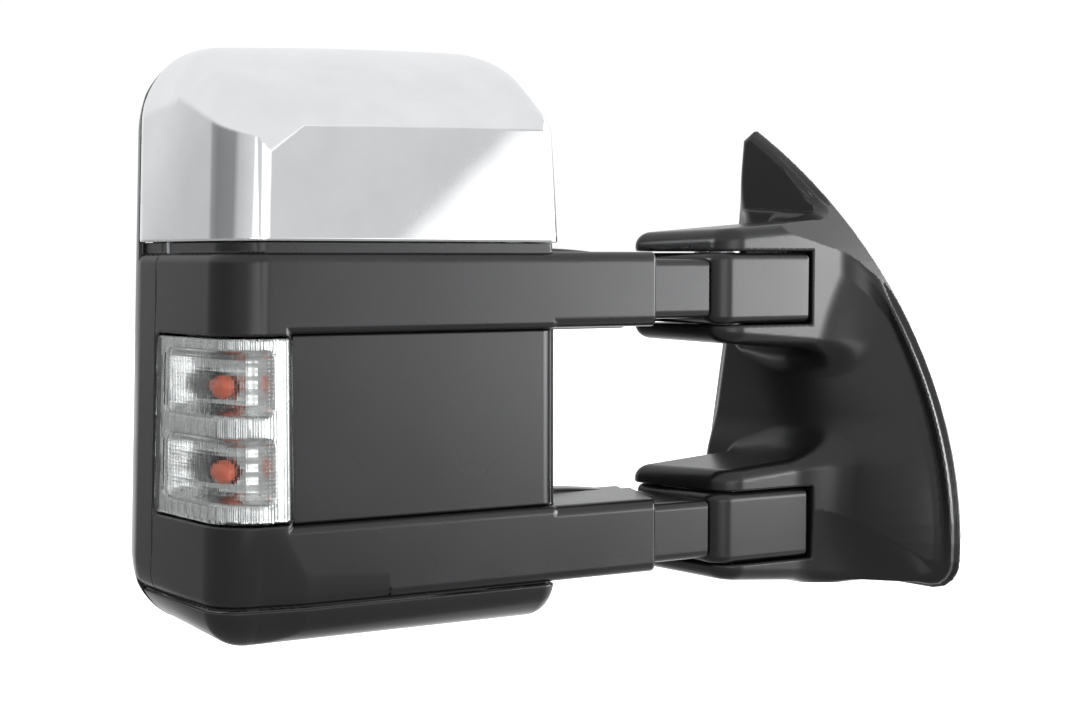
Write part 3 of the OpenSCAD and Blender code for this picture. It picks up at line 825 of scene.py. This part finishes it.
def build_shells(step, black):
    lo, hi = (HEAD_LO[0], HEAD_LO[1], LOW_Z), (SLEEVE_END, HEAD_SPLIT_Y + 1, CAP_Z)
    front = solid("front_cover", front_shell_shape, lo, hi, step, True, 90000)
    place(front, "head", ["front_shell"], black)
    lo, hi = (HEAD_LO[0], SPLIT_Y, HEAD_LO[2]), (SLEEVE_END, REAR_Y + 1, HEAD_HI[2])
    rear = solid("rear_cover", rear_shell_shape, lo, hi, step, True, 90000)
    place(rear, "head", ["rear_shell"], black)


def build_caps(step, chrome, black):
    lo, hi = (HEAD_LO[0], HEAD_LO[1], CAP_Z), (HEAD_HI[0], RIM_Y, HEAD_HI[2])
    cap = solid("bright_cap", chrome_shape, lo, hi, step, True, 90000)
    place(cap, "head", ["chrome_cap"], chrome)
    lower = solid("lower_cover", lower_cap_shape, HEAD_LO, (HEAD_HI[0], RIM_Y, LOW_Z), step, True, 40000)
    place(lower, "head", ["lower_cap"], black)


def build_panel(black):
    lo, hi = (LENS_X, -42, -PANEL_HALF), (HEAD_HI[0], -34, PANEL_HALF)
    plate = solid("front_plate", panel_shape, lo, hi, 1.3, True, 9000)
    place(plate, "head", ["front_panel"], black)


def build_lamp():
    clear, reflector = clear_plastic("clear_polycarbonate"), silvered("metallised")
    lo, hi = (HEAD_LO[0], -48, -62), (LENS_X + 1, LENS_REAR + 1, 62)
    lens = solid("lamp_lens", lens_shape, lo, hi, 0.9, True, 120000)
    place(lens, "head", ["signal_lens"], clear)
    body = solid("lamp_body", lamp_shape, lo, hi, 1.0, True, 90000)
    place(body, "head", ["lamp_housing"], reflector)


def build():
    """The finer pieces that stand for the CAD pieces in view."""
    black = black_plastic("satin_black")
    head_black = black_plastic("satin_black_head")
    tube_black = black_plastic("satin_black_tube", 0.011)
    chrome = chrome_plate("plated_cap")
    step = 1.3
    build_base(step, black)
    build_arms(black, tube_black)
    build_shells(step, head_black)
    build_caps(step, chrome, head_black)
    build_panel(head_black)
    build_lamp()


def carry_over():
    """Materials for the CAD pieces that are shown as they are."""
    steel = metal("zinc_steel", (0.62, 0.63, 0.64))
    alloy = metal("cast_alloy", (0.55, 0.56, 0.58), (0.35, 0.55), (1, 1, 1), 400, 0.2)
    brass = metal("bush_brass_finish", (0.72, 0.55, 0.28))
    seal = rubber("foam_rubber")
    dark = black_plastic("inner_plastic", 0.018, (0.45, 0.55), 0.12)
    pale = black_plastic("guide_acetal", 0.45, (0.4, 0.5), 0.05)
    silver = chrome_plate("inner_silver")
    mirror = mirror_glass("mirror_finish")
    amber = bulb_glass("amber_glass")
    clear = clear_plastic("clear_inner")
    kinds = {
        "brushed_steel": steel,
        "aluminium": alloy,
        "brass": brass,
        "rubber": seal,
        "matte_plastic": dark,
        "chrome": silver,
        "mirror": mirror,
        "glass": clear,
        "painted_metal": dark,
        "gloss_plastic": silver,
    }
    classes = {m["slot"]: m["class"] for m in RECORD["materials"]}
    for sub in RECORD["subparts"]:
        node = frame["nodes"][sub["node"]]
        slot_name = sub["material_slot"]
        mat = kinds[classes[slot_name]]
        if "bulb" in slot_name:
            mat = amber
        if slot_name == "guide_plastic":
            mat = pale
        node.data.materials.clear()
        node.data.materials.append(mat)


# ---------------------------------------------------------------- scene
CAMERA_AT = (-1.0792, -0.8777, 0.112)
CAMERA_TURN = 42.0
CAMERA_TILT = -3.43
FLOOR_Z = -0.62
FLOOR_REACH = 14.0
FLOOR_NEAR = -3.5


def camera():
    cam_data = bpy.data.cameras.new("camera")
    cam_data.sensor_width = 36
    cam_data.lens = 56.33
    cam_data.clip_start, cam_data.clip_end = 0.05, 50
    cam = bpy.data.objects.new("camera", cam_data)
    cam.location = CAMERA_AT
    cam.rotation_euler = (math.radians(90 + CAMERA_TILT), 0, math.radians(-CAMERA_TURN))
    bpy.context.scene.collection.objects.link(cam)
    bpy.context.scene.camera = cam


def pale_floor():
    """A floor with painted light: painted shade darkens it towards the front, and a painted glow
    brightens it towards the back.
    """
    mesh = bpy.data.meshes.new("floor")
    near = [(-FLOOR_REACH, FLOOR_NEAR, FLOOR_Z), (FLOOR_REACH, FLOOR_NEAR, FLOOR_Z)]
    far = [(FLOOR_REACH, FLOOR_REACH, FLOOR_Z), (-FLOOR_REACH, FLOOR_REACH, FLOOR_Z)]
    mesh.from_pydata(near + far, [], [(0, 1, 2, 3)])
    floor = bpy.data.objects.new("floor", mesh)
    bpy.context.scene.collection.objects.link(floor)
    mat, nt, bsdf = new_material("floor_painted_light")
    coord = nt.nodes.new("ShaderNodeTexCoord")
    xyz = nt.nodes.new("ShaderNodeSeparateXYZ")
    nt.links.new(coord.outputs["Object"], xyz.inputs[0])
    depth = nt.nodes.new("ShaderNodeMath")
    depth.operation = "MULTIPLY_ADD"
    nt.links.new(xyz.outputs[1], depth.inputs[0])
    depth.inputs[1].default_value = 0.35
    nt.links.new(xyz.outputs[0], depth.inputs[2])
    # painted light and shade: a sweep that is dark towards the front and light towards the back
    painted_light_sweep = spread(nt, depth.outputs[0], 0, 1, -0.2, 0.5)
    grain = noise(nt, 2)
    # painted shade: the base colour is darkened towards the front, so the floor looks dim where it is
    # reflected
    nt.links.new(mix_colour(nt, painted_light_sweep, (0.3, 0.3, 0.3), (0.9, 0.9, 0.9)), bsdf.inputs["Base Color"])
    nt.links.new(spread(nt, grain, 0.85, 0.95), bsdf.inputs["Roughness"])
    # painted light: the floor glows, more towards the back, though it is no lamp
    bsdf.inputs["Emission Color"].default_value = (1, 1, 1, 1)
    nt.links.new(spread(nt, painted_light_sweep, 0, 0.6, 0, 1), bsdf.inputs["Emission Strength"])
    mesh.materials.append(mat)


# Brightness round the horizon, as (angle, brightness): degrees from the front of the vehicle
# towards its outside. First the walls of the studio, then the tall softbox at the inboard side.
ROUND = (
    (-180, 1.05), (-70, 1.05), (-58, 0.8), (-9, 0.7), (1, 0.75), (4, 1.3), (12, 1.3),
    (24, 2.8), (42, 2.8), (52, 0.8), (78, 0.6), (88, 0.3), (125, 0.25), (142, 0.34),
    (151, 0.56), (155.0, 0.62), (156.0, 0.8), (170, 0.95), (180, 1.05),
)
SOFTBOX = (
    (-64, 0.0), (-48, 9.0), (-38, 14.0), (-26, 14.0), (-19, 8.0), (-14, 2.5), (-9.5, 0.8), (-9.0, 0.0),
)
PEAK = 15.0
OVERHEAD = 0.93


def studio_light():
    """A round white studio with a softbox, as one world shader."""
    world = bpy.data.worlds.new("studio")
    bpy.context.scene.world = world
    world.use_nodes = True
    nt = world.node_tree
    link = nt.links.new
    coord = nt.nodes.new("ShaderNodeTexCoord")
    xyz = nt.nodes.new("ShaderNodeSeparateXYZ")
    link(coord.outputs["Generated"], xyz.inputs[0])

    def maths(kind, a, b=None):
        node = nt.nodes.new("ShaderNodeMath")
        node.operation = kind
        for i, v in enumerate((a, b)):
            if v is None:
                continue
            if isinstance(v, (int, float)):
                node.inputs[i].default_value = v
            else:
                link(v, node.inputs[i])
        return node.outputs[0]

    angle = maths("ARCTAN2", maths("MULTIPLY", xyz.outputs[0], -1), maths("MULTIPLY", xyz.outputs[1], -1))
    # the pattern leans sideways with height
    lean = maths("SUBTRACT", 0.95, maths("MULTIPLY", angle, 0.25))
    angle = maths("ADD", angle, maths("MULTIPLY", xyz.outputs[2], lean))
    turn = maths("ADD", maths("DIVIDE", angle, 2 * math.pi), 0.5)

    # round ramps and steps in height, mixed into one brightness
    def round_ramp(table):
        ramp = nt.nodes.new("ShaderNodeValToRGB")
        link(turn, ramp.inputs[0])
        stops = ramp.color_ramp.elements
        while len(stops) > 1:
            stops.remove(stops[-1])
        for i, (deg, value) in enumerate(table):
            stop = stops[0] if i == 0 else stops.new((deg + 180) / 360)
            stop.position = (deg + 180) / 360
            stop.color = (value / PEAK,) * 3 + (1,)
        return maths("MULTIPLY", ramp.outputs[0], PEAK)

    def rise(low, high):
        step = nt.nodes.new("ShaderNodeMapRange")
        step.interpolation_type = "SMOOTHSTEP"
        step.inputs["From Min"].default_value = low
        step.inputs["From Max"].default_value = high
        link(xyz.outputs[2], step.inputs["Value"])
        return step.outputs[0]

    blend = nt.nodes.new("ShaderNodeMix")
    link(rise(0.1, 0.25), blend.inputs[0])
    link(round_ramp(ROUND), blend.inputs[2])
    blend.inputs[3].default_value = OVERHEAD
    tall = maths("SUBTRACT", rise(-0.13, -0.03), rise(0.4, 0.6))
    panel = maths("MULTIPLY", round_ramp(SOFTBOX), tall)
    link(maths("ADD", blend.outputs[0], panel), nt.nodes["Background"].inputs["Strength"])
    nt.nodes["Background"].inputs["Color"].default_value = (0.985, 0.99, 1.0, 1)


def stage():
    camera()
    pale_floor()
    studio_light()
    bpy.context.scene.view_settings.view_transform = "Standard"


carry_over()
build()
stage()
